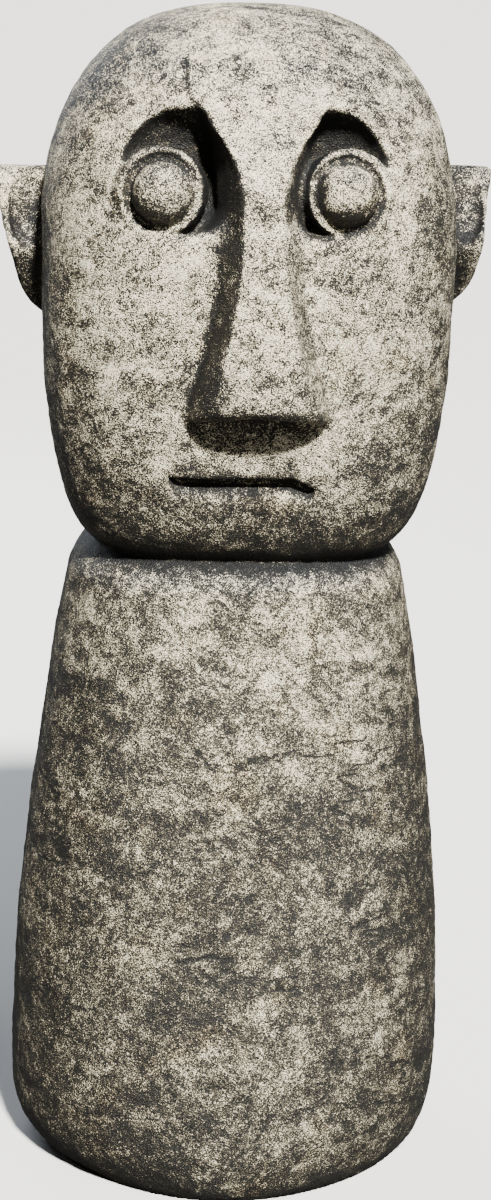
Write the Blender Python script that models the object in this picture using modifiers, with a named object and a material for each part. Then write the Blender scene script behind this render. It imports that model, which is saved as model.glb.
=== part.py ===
"""A garden figure in cast stone, one metre tall and in one piece.

A bald head with knob eyes, a long flaring nose, a slit mouth and lug ears rests on a tapering trunk.
The face looks along -Y, +Z is up, and the origin is the middle of the underside.
Lengths are in metres. Places on the face are shares of the head's own width or height.
"""

import math

import bmesh
import bpy
from mathutils import Matrix, Vector

# Driving dimensions of the two masses
FIGURE_HEIGHT = 1.000
NECK_HEIGHT = 0.548
TRUNK_WIDTH = 0.384
TRUNK_DEPTH = 0.358
NECK_WIDTH = 0.280
NECK_DEPTH = 0.256
HEAD_WIDTH = 0.343
HEAD_DEPTH = 0.312

# Trunk
BELLY_HEIGHT = 0.096
FOOT_INSET = 0.027
FOOT_SIDE_SHIFT = -0.004
FOOT_ROUNDING = 2.5
TRUNK_TAPER = 1.62
TRUNK_RING_SPACING = 1.3
FOOT_SQUARENESS = 1.85
NECK_SQUARENESS = 2.6
TRUNK_TOP_INSIDE_HEAD = 0.050
NECK_PINCH = 0.009
NECK_PINCH_HEIGHT = 0.024
CUT_BELOW_FOOT = 0.020
GROUND_CUTTER = 1.0

# Head
HEAD_SIDE_SHIFT = 0.0055
HEAD_FORWARD_SHIFT = 0.010
CHEEK_LINE = 0.551
CROWN_CURVE = 2.56
JAW_CURVE = 2.16
JAW_EDGE_SIDE = 7.7
JAW_EDGE_FRONT = 6.0
FACE_SQUARENESS = 2.8
CROWN_SQUARENESS = 2.3
POLE_GAP = 0.006

# Eyes
EYE_LINE = 0.688
EYE_SPREAD = 0.209
EYES_SIDE_SHIFT = -0.002
SOCKET_SIZE = (0.098, 0.080, 0.128)
SOCKET_OUTLINE = 2.35
SOCKET_EDGE = 4.0
SOCKET_FLOOR = 0.0235
SOCKET_TOWARD_NOSE = 0.006
SOCKET_RISE = 0.014
SOCKET_TILT = math.radians(29)
EYE_TURN = math.radians(12)
RIM_SIZE = (0.069, 0.034, 0.069)
RIM_EDGE = 5.0
RIM_SINK = 0.010
RIM_TILT = math.radians(8)
EYEBALL_DIAMETER = 0.051
EYEBALL_SINK = 0.016

# Nose
NOSE_TIP_LINE = 0.300
NOSE_ROOT_LINE = 0.860
NOSE_SIDE_SHIFT = 0.004
NOSE_REACH = 0.041
NOSE_REACH_CURVE = 0.72
NOSE_BRIDGE_WIDTH = 0.068
NOSE_TIP_WIDTH = 0.117
NOSE_FLARE_SHARE = 0.42
NOSE_FLARE_CURVE = 1.2
NOSE_RIDGE_WIDTH = 0.035
NOSE_TIP_RIDGE_WIDTH = 0.092
NOSE_RIDGE_FLARE_SHARE = 0.50
NOSE_RIDGE_FLARE_CURVE = 1.1
NOSE_TIP_SQUARENESS = 2.3
NOSE_INSIDE_FACE = 0.060
NOSE_BELOW_TIP = 0.060
NOSE_ARCH = 0.007
NOSE_UNDERSIDE_SLOPE = 0.36
NOSE_CUTTER_SPREAD = 1.2
NOSE_CUTTER_REACH = 0.080

# Mouth
MOUTH_LINE = 0.188
MOUTH_SIDE_SHIFT = -0.0075
MOUTH_LENGTH = 0.118
MOUTH_DEPTH = 0.0125
MOUTH_CUT_IN_FRONT = 0.012
MOUTH_BLUNTNESS = 10
MOUTH_LEAST_ENDING = 0.05
LEDGE_HEIGHT = 0.0205
LEDGE_SLOPE = 1.05
MOUTH_CORNER_DROOP = 0.009
MOUTH_DROOP_FROM = 0.50

# Ears: -1 is the one on the -X side, 1 the one on the +X side
EAR_TOP_LINE = {-1: 0.695, 1: 0.706}
EAR_LOBE_LINE = {-1: 0.416, 1: 0.438}
EAR_REACH = {-1: 0.044, 1: 0.038}
EAR_LOBE_REACH = {-1: 0.013, 1: 0.017}
EAR_ROOT_INSIDE = 0.014
EAR_FOLD = 0.48
EAR_FRONT_AT = (0.018, -0.015, 0.027)
EAR_BACK_AT = (0.034, 0.036, 0.042)
EAR_LOBE_ROUNDING = 0.22
EAR_TOP_ROUNDING = 0.04
EAR_LEAST_ROUNDING = 0.05
EAR_SQUARENESS = 2.3
EAR_HOLLOW = (0.034, 0.020, 0.080)
EAR_HOLLOW_SQUARENESS = 2.2
EAR_HOLLOW_OUT = 0.011
EAR_HOLLOW_TILT = math.radians(-28)

# Mesh resolution
POINTS_AROUND = 240
RINGS_UP = 120
POINTS_ACROSS = 40
PEBBLE_SEGMENTS = 72
PEBBLE_RINGS = 48
VOXEL = 0.0032
SOFTENING = 0.5
SOFTENING_STEPS = 3
KEPT_FACES = 9600

# Material
STONE_COLOUR = (0.30, 0.285, 0.245, 1.0)
STONE_ROUGHNESS = 0.8

HEAD_HEIGHT = FIGURE_HEIGHT - NECK_HEIGHT


def head_level(share):
    """Height above the ground of a share of the head's height, counted from its underside."""
    return NECK_HEIGHT + HEAD_HEIGHT * share


def blend(start, end, share):
    """Straight blend between two values."""
    return start + (end - start) * share


def smooth(share):
    """Smooth step from 0 to 1, held at both ends."""
    share = min(1.0, max(0.0, share))
    return share * share * (3.0 - 2.0 * share)


def section(centre, half_width, front, back, squareness, height):
    """Level rounded-square ring, whose front and back halves can have different depths."""
    points = []
    for step in range(POINTS_AROUND):
        angle = 2.0 * math.pi * step / POINTS_AROUND
        across, along = math.cos(angle), math.sin(angle)
        reach = (abs(across) ** squareness + abs(along) ** squareness) ** (-1.0 / squareness)
        depth = back if along > 0.0 else front
        points.append((centre[0] + half_width * reach * across, centre[1] + depth * reach * along, height))
    return points


def mesh_object(name, mesh):
    """Object for a mesh, linked to the scene's own collection."""
    made = bpy.data.objects.new(name, mesh)
    bpy.context.scene.collection.objects.link(made)
    return made


def loft(name, rings):
    """Closed skin through a stack of rings that all have as many points, with flat end caps."""
    skin = bmesh.new()
    levels = [[skin.verts.new(point) for point in ring] for ring in rings]
    count = len(levels[0])
    for low, high in zip(levels, levels[1:]):
        for i in range(count):
            j = (i + 1) % count
            skin.faces.new((low[i], low[j], high[j], high[i]))
    skin.faces.new(list(reversed(levels[0])))
    skin.faces.new(levels[-1])
    bmesh.ops.recalc_face_normals(skin, faces=skin.faces)
    mesh = bpy.data.meshes.new(name)
    skin.to_mesh(mesh)
    skin.free()
    return mesh_object(name, mesh)


def pebble(name, size, place, outline=2.0, edge=2.0, turn=Matrix.Identity(4)):
    """Rounded block of the given full size, turned and then placed: a sphere whose points are pushed out.

    The outline seen along Y grows squarer with outline, and the front and back grow flatter with edge.
    """
    bpy.ops.mesh.primitive_uv_sphere_add(segments=PEBBLE_SEGMENTS, ring_count=PEBBLE_RINGS)
    made = bpy.context.active_object
    made.name = name
    for vertex in made.data.vertices:
        x, y, z = vertex.co
        flat = (abs(x) ** outline + abs(z) ** outline) ** (edge / outline)
        spread = (flat + abs(y) ** edge) ** (-1.0 / edge)
        vertex.co = [value * spread * side / 2.0 for value, side in zip((x, y, z), size)]
    made.data.transform(Matrix.Translation(place) @ turn)
    return made


def trunk_half(height, neck_width, belly_width):
    """Half the trunk's width or depth at a height: rounded foot, slow taper, and a pinch under the jaw."""
    if height >= BELLY_HEIGHT:
        rise = (height - BELLY_HEIGHT) / (NECK_HEIGHT - BELLY_HEIGHT)
        pinch = NECK_PINCH * max(0.0, 1.0 - (NECK_HEIGHT - height) / NECK_PINCH_HEIGHT) ** 2
        return (belly_width - (belly_width - neck_width) * rise**TRUNK_TAPER) / 2.0 - pinch
    drop = (BELLY_HEIGHT - max(height, 0.0)) / BELLY_HEIGHT
    left = (1.0 - drop**FOOT_ROUNDING) ** (1.0 / FOOT_ROUNDING)
    return belly_width / 2.0 - FOOT_INSET * (1.0 - left)


def make_trunk():
    """Tapering trunk, from a plug below the ground line to a top buried in the head."""
    top = NECK_HEIGHT + TRUNK_TOP_INSIDE_HEAD
    rings = []
    for step in range(-1, RINGS_UP + 1):
        share = max(step, 0) / RINGS_UP
        height = top * share**TRUNK_RING_SPACING if step >= 0 else -CUT_BELOW_FOOT
        half_width = trunk_half(height, NECK_WIDTH, TRUNK_WIDTH)
        half_depth = trunk_half(height, NECK_DEPTH, TRUNK_DEPTH)
        squareness = blend(FOOT_SQUARENESS, NECK_SQUARENESS, share)
        centre = (FOOT_SIDE_SHIFT * (1.0 - share) ** 2, 0.0)
        rings.append(section(centre, half_width, half_depth, half_depth, squareness, height))
    return loft("trunk", rings)


def head_share(level, crown_curve, jaw_edge):
    """Share of the head's full width or depth left at a level, from -1 at the jaw to 1 at the crown."""
    if level >= 0.0:
        return max(0.0, 1.0 - level**crown_curve) ** (1.0 / crown_curve)
    return max(0.0, 1.0 - (-level) ** JAW_CURVE) ** (1.0 / jaw_edge)


def level_of(share):
    """Level from -1 at the jaw's underside to 1 at the crown, for a share of the head's height."""
    gap = share - CHEEK_LINE
    return gap / (1.0 - CHEEK_LINE) if gap > 0.0 else gap / CHEEK_LINE


def head_section(level):
    """Half width, front depth, back depth and squareness of the head's outline at a level."""
    half_width = HEAD_WIDTH / 2.0 * head_share(level, CROWN_CURVE, JAW_EDGE_SIDE)
    front = HEAD_DEPTH / 2.0 * head_share(level, CROWN_CURVE, JAW_EDGE_FRONT)
    back = HEAD_DEPTH / 2.0 * head_share(level, CROWN_CURVE, JAW_EDGE_SIDE)
    return half_width, front, back, blend(FACE_SQUARENESS, CROWN_SQUARENESS, max(level, 0.0))


def face_front(across, share):
    """Y of the face's surface at a distance from its middle line and a share of the head's height."""
    half_width, front, _, squareness = head_section(level_of(share))
    fall = max(0.0, 1.0 - (abs(across) / half_width) ** squareness) ** (1.0 / squareness)
    return -HEAD_FORWARD_SHIFT - front * fall


def make_head():
    """Block of the head: a domed crown above the cheek line, a tapering jaw below it."""
    centre = (HEAD_SIDE_SHIFT, -HEAD_FORWARD_SHIFT)
    rings = []
    for step in range(-RINGS_UP, RINGS_UP + 1):
        level = math.sin((1.0 - POLE_GAP) * math.pi / 2.0 * step / RINGS_UP)
        height = head_level(CHEEK_LINE + level * (1.0 - CHEEK_LINE if level > 0.0 else CHEEK_LINE))
        rings.append(section(centre, *head_section(level), height))
    return loft("head", rings)


def nose_section(across, rise, half_foot):
    """Share of the nose's reach at a place across it: a trapezium above, a half round at the tip."""
    flare = max(0.0, 1.0 - rise / NOSE_RIDGE_FLARE_SHARE) ** NOSE_RIDGE_FLARE_CURVE
    half_ridge = blend(NOSE_RIDGE_WIDTH, NOSE_TIP_RIDGE_WIDTH, flare) / 2.0
    flank = smooth(half_foot * (1.0 - abs(across)) / (half_foot - half_ridge))
    half_round = math.sqrt(1.0 - abs(across) ** NOSE_TIP_SQUARENESS)
    return blend(flank, half_round, flare)


def make_nose():
    """Long nose: a flat ridge with steep flanks, growing from the brow to a wide round-fronted tip."""
    rings = []
    for step in range(RINGS_UP + 1):
        share = blend(NOSE_TIP_LINE - NOSE_BELOW_TIP, NOSE_ROOT_LINE, step / RINGS_UP)
        rise = max(0.0, share - NOSE_TIP_LINE) / (NOSE_ROOT_LINE - NOSE_TIP_LINE)
        flare = max(0.0, 1.0 - rise / NOSE_FLARE_SHARE) ** NOSE_FLARE_CURVE
        half_foot = blend(NOSE_BRIDGE_WIDTH, NOSE_TIP_WIDTH, flare) / 2.0
        reach = NOSE_REACH * (1.0 - rise) ** NOSE_REACH_CURVE
        ring = []
        for point in range(POINTS_ACROSS + 1):
            across = blend(-1.0, 1.0, point / POINTS_ACROSS)
            x = NOSE_SIDE_SHIFT + across * half_foot
            ring.append((x, face_front(x, share) - reach * nose_section(across, rise, half_foot)))
        back = face_front(NOSE_SIDE_SHIFT, share) + NOSE_INSIDE_FACE
        ring.append((NOSE_SIDE_SHIFT + half_foot, back))
        ring.append((NOSE_SIDE_SHIFT - half_foot, back))
        rings.append([(x + HEAD_SIDE_SHIFT, y, head_level(share)) for x, y in ring])
    return loft("nose", rings)


def make_nose_underside():
    """Cutter below the nose, whose top arches from wing to wing and slopes down towards the face."""
    front = face_front(NOSE_SIDE_SHIFT, NOSE_TIP_LINE) - NOSE_REACH
    bottom = head_level(NOSE_TIP_LINE) - NOSE_CUTTER_REACH
    rings = []
    for point in range(POINTS_ACROSS + 1):
        across = blend(-NOSE_CUTTER_SPREAD, NOSE_CUTTER_SPREAD, point / POINTS_ACROSS)
        x = HEAD_SIDE_SHIFT + NOSE_SIDE_SHIFT + across * NOSE_TIP_WIDTH / 2.0
        edge = head_level(NOSE_TIP_LINE) + NOSE_ARCH * max(0.0, 1.0 - across**2)
        fall = NOSE_CUTTER_REACH * NOSE_UNDERSIDE_SLOPE
        before, behind = front - NOSE_CUTTER_REACH, front + NOSE_CUTTER_REACH
        corners = ((before, edge + fall), (behind, edge - fall), (behind, bottom), (before, bottom))
        rings.append([(x, y, z) for y, z in corners])
    return loft("nose_underside", rings)


def ear_depth(stations, rise):
    """Y of an ear's front or back at a share of its height, given at the lobe, the fold and the top."""
    lobe, fold, top = stations
    if rise < EAR_FOLD:
        return blend(lobe, fold, smooth(rise / EAR_FOLD))
    return blend(fold, top, (rise - EAR_FOLD) / (1.0 - EAR_FOLD))


def make_ear(side):
    """Lug ear: thickest at its fold, leaning back above it, its outer edge slanting in to a rounded lobe."""
    root = HEAD_WIDTH / 2.0 - EAR_ROOT_INSIDE
    rings = []
    for step in range(RINGS_UP + 1):
        rise = step / RINGS_UP
        lobe = math.sqrt(1.0 - (1.0 - min(1.0, rise / EAR_LOBE_ROUNDING)) ** 2)
        top = math.sqrt(1.0 - (1.0 - min(1.0, (1.0 - rise) / EAR_TOP_ROUNDING)) ** 2)
        rounding = max(lobe * top, EAR_LEAST_ROUNDING)
        reach = (blend(EAR_LOBE_REACH[side], EAR_REACH[side], rise) + EAR_ROOT_INSIDE) * rounding
        front, back = ear_depth(EAR_FRONT_AT, rise), ear_depth(EAR_BACK_AT, rise)
        half_depth = (back - front) / 2.0 * rounding
        height = head_level(blend(EAR_LOBE_LINE[side], EAR_TOP_LINE[side], rise))
        centre = (HEAD_SIDE_SHIFT + side * root, (front + back) / 2.0)
        rings.append(section(centre, reach, half_depth, half_depth, EAR_SQUARENESS, height))
    return loft("ear", rings)


def make_ear_hollow(side):
    """Cutter for the hollow in the leaning front of an ear, beside the cheek."""
    rise = (1.0 + EAR_FOLD) / 2.0
    across = HEAD_SIDE_SHIFT + side * (HEAD_WIDTH / 2.0 + EAR_HOLLOW_OUT)
    height = head_level(blend(EAR_LOBE_LINE[side], EAR_TOP_LINE[side], rise))
    place = (across, ear_depth(EAR_FRONT_AT, rise), height)
    turn = Matrix.Rotation(EAR_HOLLOW_TILT, 4, "X")
    return pebble("ear_hollow", EAR_HOLLOW, place, EAR_HOLLOW_SQUARENESS, EAR_HOLLOW_SQUARENESS, turn)


def eye_place(side, inward):
    """Point of an eye's axis that lies this far inside the face."""
    across = HEAD_SIDE_SHIFT + EYES_SIDE_SHIFT + side * EYE_SPREAD * HEAD_WIDTH
    return Vector((across, face_front(0.0, EYE_LINE) + inward, head_level(EYE_LINE)))


def eye_turn(side, tilt):
    """Turn outwards with the curve of the face, and back by a tilt."""
    return Matrix.Rotation(side * EYE_TURN, 4, "Z") @ Matrix.Rotation(-tilt, 4, "X")


def make_socket(side):
    """Cutter for an eye socket: an upright arch with a flat floor, tilted to bite deepest under the brow."""
    place = eye_place(side, SOCKET_FLOOR - SOCKET_SIZE[1] / 2.0)
    place += Vector((-side * SOCKET_TOWARD_NOSE, 0.0, SOCKET_RISE))
    return pebble("socket", SOCKET_SIZE, place, SOCKET_OUTLINE, SOCKET_EDGE, eye_turn(side, SOCKET_TILT))


def make_eyeball(side):
    """Knob of an eye."""
    return pebble("eyeball", (EYEBALL_DIAMETER,) * 3, eye_place(side, EYEBALL_SINK))


def make_rim(side):
    """Disc on the socket's floor, which stands out as a rim round an eye's knob."""
    place = eye_place(side, RIM_SINK + RIM_SIZE[1] / 2.0)
    return pebble("rim", RIM_SIZE, place, edge=RIM_EDGE, turn=eye_turn(side, RIM_TILT))


def make_mouth():
    """Cutter for the mouth: level above, a ledge sloping out below, blunt ends, and one corner drooping."""
    rings = []
    for point in range(POINTS_ACROSS + 1):
        along = blend(-1.0, 1.0, point / POINTS_ACROSS)
        ending = max(MOUTH_LEAST_ENDING, math.sqrt(1.0 - along**MOUTH_BLUNTNESS))
        across = MOUTH_SIDE_SHIFT + along * MOUTH_LENGTH / 2.0
        droop = MOUTH_CORNER_DROOP * smooth((along - MOUTH_DROOP_FROM) / (1.0 - MOUTH_DROOP_FROM))
        roof = head_level(MOUTH_LINE) - droop
        front = face_front(across, MOUTH_LINE) - MOUTH_CUT_IN_FRONT
        back = front + MOUTH_CUT_IN_FRONT + MOUTH_DEPTH * ending
        lip = roof - LEDGE_HEIGHT * ending - MOUTH_CUT_IN_FRONT * LEDGE_SLOPE
        corners = ((front, roof), (back, roof), (back, lip + (back - front) * LEDGE_SLOPE), (front, lip))
        rings.append([(HEAD_SIDE_SHIFT + across, y, z) for y, z in corners])
    return loft("mouth", rings)


def add_boolean(body, tool, operation):
    """Boolean modifier that cuts or joins a tool, which is then hidden from the render."""
    step = body.modifiers.new(f"{operation.lower()} {tool.name}", "BOOLEAN")
    step.operation = operation
    step.object = tool
    step.solver = "EXACT"
    tool.hide_render = True
    tool.display_type = "WIRE"


def baked(name, body, tools):
    """Body as its modifiers leave it, as a plain object; the body and its tools are removed."""
    graph = bpy.context.evaluated_depsgraph_get()
    mesh = bpy.data.meshes.new_from_object(body.evaluated_get(graph))
    for used in [body, *tools]:
        bpy.data.objects.remove(used)
    return mesh_object(name, mesh)


def carve_head():
    """Head with its sockets and mouth cut in, and the nose standing between them."""
    head = make_head()
    nose = make_nose()
    cutters = [make_socket(-1), make_socket(1), make_mouth()]
    for cutter in cutters:
        add_boolean(head, cutter, "DIFFERENCE")
    underside = make_nose_underside()
    add_boolean(nose, underside, "DIFFERENCE")
    carved_nose = baked("carved nose", nose, [underside])
    add_boolean(head, carved_nose, "UNION")
    return baked("carved head", head, [carved_nose, *cutters])


def carve_ear(side):
    """Ear with its hollow cut in."""
    ear = make_ear(side)
    hollow = make_ear_hollow(side)
    add_boolean(ear, hollow, "DIFFERENCE")
    return baked("carved ear", ear, [hollow])


def joined(name, pieces):
    """Pieces as the loose shells of one mesh, which the remesh then melts together."""
    together = bmesh.new()
    for piece in pieces:
        together.from_mesh(piece.data)
        bpy.data.objects.remove(piece)
    mesh = bpy.data.meshes.new(name)
    together.to_mesh(mesh)
    together.free()
    return mesh_object(name, mesh)


def make_ground_cutter():
    """Block below the ground line, which cuts the foot flat."""
    bpy.ops.mesh.primitive_cube_add(size=GROUND_CUTTER)
    made = bpy.context.active_object
    made.name = "ground_cutter"
    made.data.transform(Matrix.Translation((0.0, 0.0, -GROUND_CUTTER / 2.0)))
    return made


def make_figure():
    """The whole figure: every mass melted into one skin, softened, thinned and cut flat below."""
    pieces = [make_trunk(), carve_head()]
    for side in (-1, 1):
        pieces += [carve_ear(side), make_eyeball(side), make_rim(side)]
    figure = joined("stone_figure", pieces)
    melt = figure.modifiers.new("melt together", "REMESH")
    melt.mode = "VOXEL"
    melt.voxel_size = VOXEL
    soften = figure.modifiers.new("soften", "SMOOTH")
    soften.factor = SOFTENING
    soften.iterations = SOFTENING_STEPS
    graph = bpy.context.evaluated_depsgraph_get()
    dense_faces = 2 * len(figure.evaluated_get(graph).data.polygons)
    thin = figure.modifiers.new("thin out", "DECIMATE")
    thin.ratio = KEPT_FACES / dense_faces
    add_boolean(figure, make_ground_cutter(), "DIFFERENCE")
    return figure


def stone_material():
    """Weathered cast stone, grey with a cream wash."""
    stone = bpy.data.materials.new("weathered_stone")
    stone.use_nodes = True
    shader = stone.node_tree.nodes["Principled BSDF"]
    shader.inputs["Base Color"].default_value = STONE_COLOUR
    shader.inputs["Roughness"].default_value = STONE_ROUGHNESS
    return stone


def main():
    """Clears the scene and builds the figure in a collection of its own."""
    for old in list(bpy.data.objects):
        bpy.data.objects.remove(old)
    figure = make_figure()
    figure.data.materials.append(stone_material())
    figure.data.shade_smooth()
    collection = bpy.data.collections.new("Stone garden figure")
    cutters = bpy.data.collections.new("Cutters")
    for group in (collection, cutters):
        bpy.context.scene.collection.children.link(group)
    for made in list(bpy.context.scene.collection.objects):
        (collection if made is figure else cutters).objects.link(made)
        bpy.context.scene.collection.objects.unlink(made)


main()
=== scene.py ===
"""Weathered cast-stone garden figure, about one metre tall.

The figure is one casting: a bald head with knob eyes, a long flaring nose, a slit mouth and lug ears,
resting over a deep crease on a plain tapering trunk. The forms are modelled as distances in a block of
sample points, skinned, worked over by a node tree that gives the hand-made surface, and finished with a
dark stain and a cream wash brushed over it. Painted shade, which in the hollows also stands for dirt,
darkens the colour in hollows, on sides and undersides, on the nose's flank and below the eye knobs,
beside a painted highlight on the nose's ridge and a painted sky reflection on upward faces.
"""

import logging
import math
from collections.abc import Iterable
from dataclasses import dataclass, field
from enum import Enum
from functools import reduce
from typing import NamedTuple

import bpy
import numpy as np
from mathutils import Matrix, Vector


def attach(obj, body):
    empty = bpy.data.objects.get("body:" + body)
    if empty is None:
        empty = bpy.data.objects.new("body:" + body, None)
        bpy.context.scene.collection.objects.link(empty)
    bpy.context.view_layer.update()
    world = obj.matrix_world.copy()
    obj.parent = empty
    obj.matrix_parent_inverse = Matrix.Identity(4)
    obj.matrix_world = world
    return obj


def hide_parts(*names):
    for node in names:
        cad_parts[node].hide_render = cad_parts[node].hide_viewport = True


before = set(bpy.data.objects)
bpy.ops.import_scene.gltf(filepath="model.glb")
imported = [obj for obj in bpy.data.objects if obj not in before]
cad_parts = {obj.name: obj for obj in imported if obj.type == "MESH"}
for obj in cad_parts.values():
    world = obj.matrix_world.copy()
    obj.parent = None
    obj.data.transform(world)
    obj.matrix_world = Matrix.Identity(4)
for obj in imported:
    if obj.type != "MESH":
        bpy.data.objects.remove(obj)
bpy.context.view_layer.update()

LOG = logging.getLogger("garden figure")
FAR_OUTSIDE = 1.0
TINY = 1e-6
Point = tuple[float, float, float]
Span = tuple[float, float]
Colour = tuple[float, float, float, float]
Array = np.ndarray
Socket = bpy.types.NodeSocket


def in_scene(name: str, data: bpy.types.ID) -> bpy.types.Object:
    """New object in the scene that shows a mesh, a light or a camera."""
    made = bpy.data.objects.new(name, data)
    bpy.context.scene.collection.objects.link(made)
    return made


class Side(Enum):
    """Which half of the figure a paired feature belongs to; the value is the sign of its X."""

    MINUS_X = -1
    PLUS_X = 1


def blend(start: float, end: float, share: Array | float) -> Array | float:
    """Straight blend between two values."""
    return start + (end - start) * share


def held(share: Array | float) -> Array:
    """Share held between 0 and 1."""
    return np.clip(share, 0.0, 1.0)


def smooth(share: Array | float) -> Array:
    """Smooth step from 0 to 1, held at both ends."""
    share = held(share)
    return share * share * (3.0 - 2.0 * share)


def rounded_min(a: Array, b: Array, fillet: float) -> Array:
    """Smaller of two distances, with a fillet where they meet.

    Args:
        a: Distances to one form.
        b: Distances to the other form.
        fillet: Width of the band in which the two forms melt together.

    Returns:
        Distances to the two forms together.
    """
    share = held(0.5 + 0.5 * (b - a) / fillet)
    return b + (a - b) * share - fillet * share * (1.0 - share)


def rounded_max(a: Array, b: Array, fillet: float) -> Array:
    """Larger of two distances, with the edge between them rounded over."""
    return -rounded_min(-a, -b, fillet)


def true_distance(values: Array, step: float) -> Array:
    """Rescales a field whose zero level is a surface, so that it reads as metres near that surface.

    Args:
        values: Field on a regular block of points.
        step: Distance between neighbouring points.

    Returns:
        The field divided by the length of its own gradient.
    """
    slopes = np.gradient(values, step)
    steepness = np.sqrt(sum(slope * slope for slope in slopes))
    return values / np.maximum(steepness, TINY)


@dataclass
class ClayBlock:
    """Block of regular sample points that holds how far each one lies outside the figure."""

    low: Point
    high: Point
    step: float
    axes: list[Array] = field(init=False)
    values: Array = field(init=False)

    def __post_init__(self) -> None:
        """Lays out the points, all of them outside."""
        self.axes = [
            np.arange(start, end, self.step, dtype=np.float32) for start, end in zip(self.low, self.high)
        ]
        self.values = np.full([len(axis) for axis in self.axes], FAR_OUTSIDE, dtype=np.float32)

    def window(self, low: Point, high: Point) -> tuple[tuple[slice, ...], list[Array]]:
        """Part of the block between two corners.

        Args:
            low: Lowest corner.
            high: Highest corner.

        Returns:
            The slices of the part, and its X, Y and Z coordinates shaped for broadcasting.
        """
        cuts = tuple(
            slice(*np.searchsorted(axis, (start, end))) for axis, start, end in zip(self.axes, low, high)
        )
        grid = np.meshgrid(*(axis[cut] for axis, cut in zip(self.axes, cuts)), indexing="ij", sparse=True)
        return cuts, grid

    def add(self, form: "Form", fillet: float) -> None:
        """Joins a form on, melted in over the width of a fillet."""
        cuts, grid = self.window(*form.box())
        self.values[cuts] = rounded_min(self.values[cuts], form.outside(*grid, self.step), fillet)

    def cut(self, form: "Form", fillet: float) -> None:
        """Carves a form away, with its edge rounded over the width of a fillet."""
        cuts, grid = self.window(*form.box())
        self.values[cuts] = rounded_max(self.values[cuts], -form.outside(*grid, self.step), fillet)

    def cut_flat_below(self, height: float) -> None:
        """Cuts the figure level at a height."""
        self.values = np.maximum(self.values, height - self.axes[2]).astype(np.float32)

    def shut_in(self, points: Array, normals: Array, probes: "Probes") -> Array:
        """How much of the open air in front of each point is taken up by the figure itself.

        Args:
            points: Rows of X, Y and Z on the surface.
            normals: Rows of the directions in which the surface faces there.
            probes: Directions and distances that are looked along.

        Returns:
            A share for each point, 0 in the open and 1 where it is shut in all round.
        """
        solid = self.values < 0.0
        blocked, total = np.zeros(len(points)), np.full(len(points), TINY)
        for direction in probes.directions():
            facing = held(normals @ direction - probes.grazing)
            hit = np.zeros(len(points))
            for reach in probes.reaches:
                place = (points + direction * reach - np.array(self.low)) / self.step + 0.5
                place = np.clip(place.astype(int), 0, np.array(solid.shape) - 1)
                hit = np.where(solid[tuple(place.T)], 1.0 - reach / probes.fading, hit)
            blocked += facing * hit
            total += facing
        return blocked / total

    def skin(self) -> tuple[Array, Array]:
        """Closed surface where the distance passes through zero.

        Each cell of the block that the surface crosses gets one point, in the middle of the crossings on
        the cell's edges, and each crossed edge gets one four-sided face between its four cells.

        Returns:
            Rows of points, and rows of four point numbers whose faces look outwards.
        """
        inside = self.values < 0.0
        cells = np.array(self.values.shape) - 1
        cell_numbers, crossings = [], []
        for axis in range(3):
            ahead = np.eye(3, dtype=int)[axis]
            starts = np.argwhere(np.diff(inside, axis=axis))
            near = self.values[tuple(starts.T)]
            far = self.values[tuple((starts + ahead).T)]
            crossing = starts + (near / (near - far))[:, None] * ahead
            second, third = np.eye(3, dtype=int)[[(axis + 1) % 3, (axis + 2) % 3]]
            ring = [starts, starts - second, starts - second - third, starts - third]
            numbers = np.stack([np.ravel_multi_index(cell.T, cells) for cell in ring], axis=1)
            numbers[near > 0.0] = numbers[near > 0.0, ::-1]
            cell_numbers.append(numbers)
            crossings.append(crossing)
        corners = np.concatenate(cell_numbers)
        spots = np.repeat(np.concatenate(crossings), 4, axis=0)
        _, flat_faces = np.unique(corners.ravel(), return_inverse=True)
        counts = np.bincount(flat_faces)
        middles = [np.bincount(flat_faces, weights=spots[:, axis]) / counts for axis in range(3)]
        points = np.stack(middles, axis=1) * self.step + np.array(self.low)
        return points, flat_faces.reshape(corners.shape)


@dataclass(frozen=True)
class Probes:
    """Straight looks taken from a point to find what stands round it."""

    count: int = 64
    reaches: tuple[float, ...] = (0.050, 0.033, 0.021, 0.013, 0.007)
    fading: float = 0.075
    grazing: float = 0.12

    def directions(self) -> Array:
        """Unit directions spread evenly over a whole sphere, on a golden spiral."""
        number = np.arange(self.count) + 0.5
        height = 1.0 - 2.0 * number / self.count
        angle = math.pi * (1.0 + math.sqrt(5.0)) * number
        across = np.sqrt(1.0 - height**2)
        return np.stack([across * np.cos(angle), across * np.sin(angle), height], axis=1)


class Form:
    """A mass or a cut, known by how far any point lies outside it."""

    def box(self) -> tuple[Point, Point]:
        """Lowest and highest corner of the part of the block that the form changes."""
        raise NotImplementedError

    def outside(self, x: Array, y: Array, z: Array, step: float) -> Array:
        """Distances of a block of points outside the form, negative inside it.

        Args:
            x: X of the points, shaped for broadcasting.
            y: Y of the points.
            z: Z of the points.
            step: Distance between neighbouring points.

        Returns:
            One distance for each point.
        """
        raise NotImplementedError


@dataclass
class Turned(Form):
    """Small form with a place and a turn of its own."""

    place: Vector
    turn: Matrix

    def cube(self, half: float) -> tuple[Point, Point]:
        """Lowest and highest corner of a level cube about the form's place."""
        reach = Vector((half, half, half))
        return tuple(self.place - reach), tuple(self.place + reach)

    def own(self, x: Array, y: Array, z: Array) -> list[Array]:
        """Coordinates of points along the form's own three axes."""
        away = (x - self.place.x, y - self.place.y, z - self.place.z)
        return [sum(self.turn[row][column] * away[row] for row in range(3)) for column in range(3)]


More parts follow.
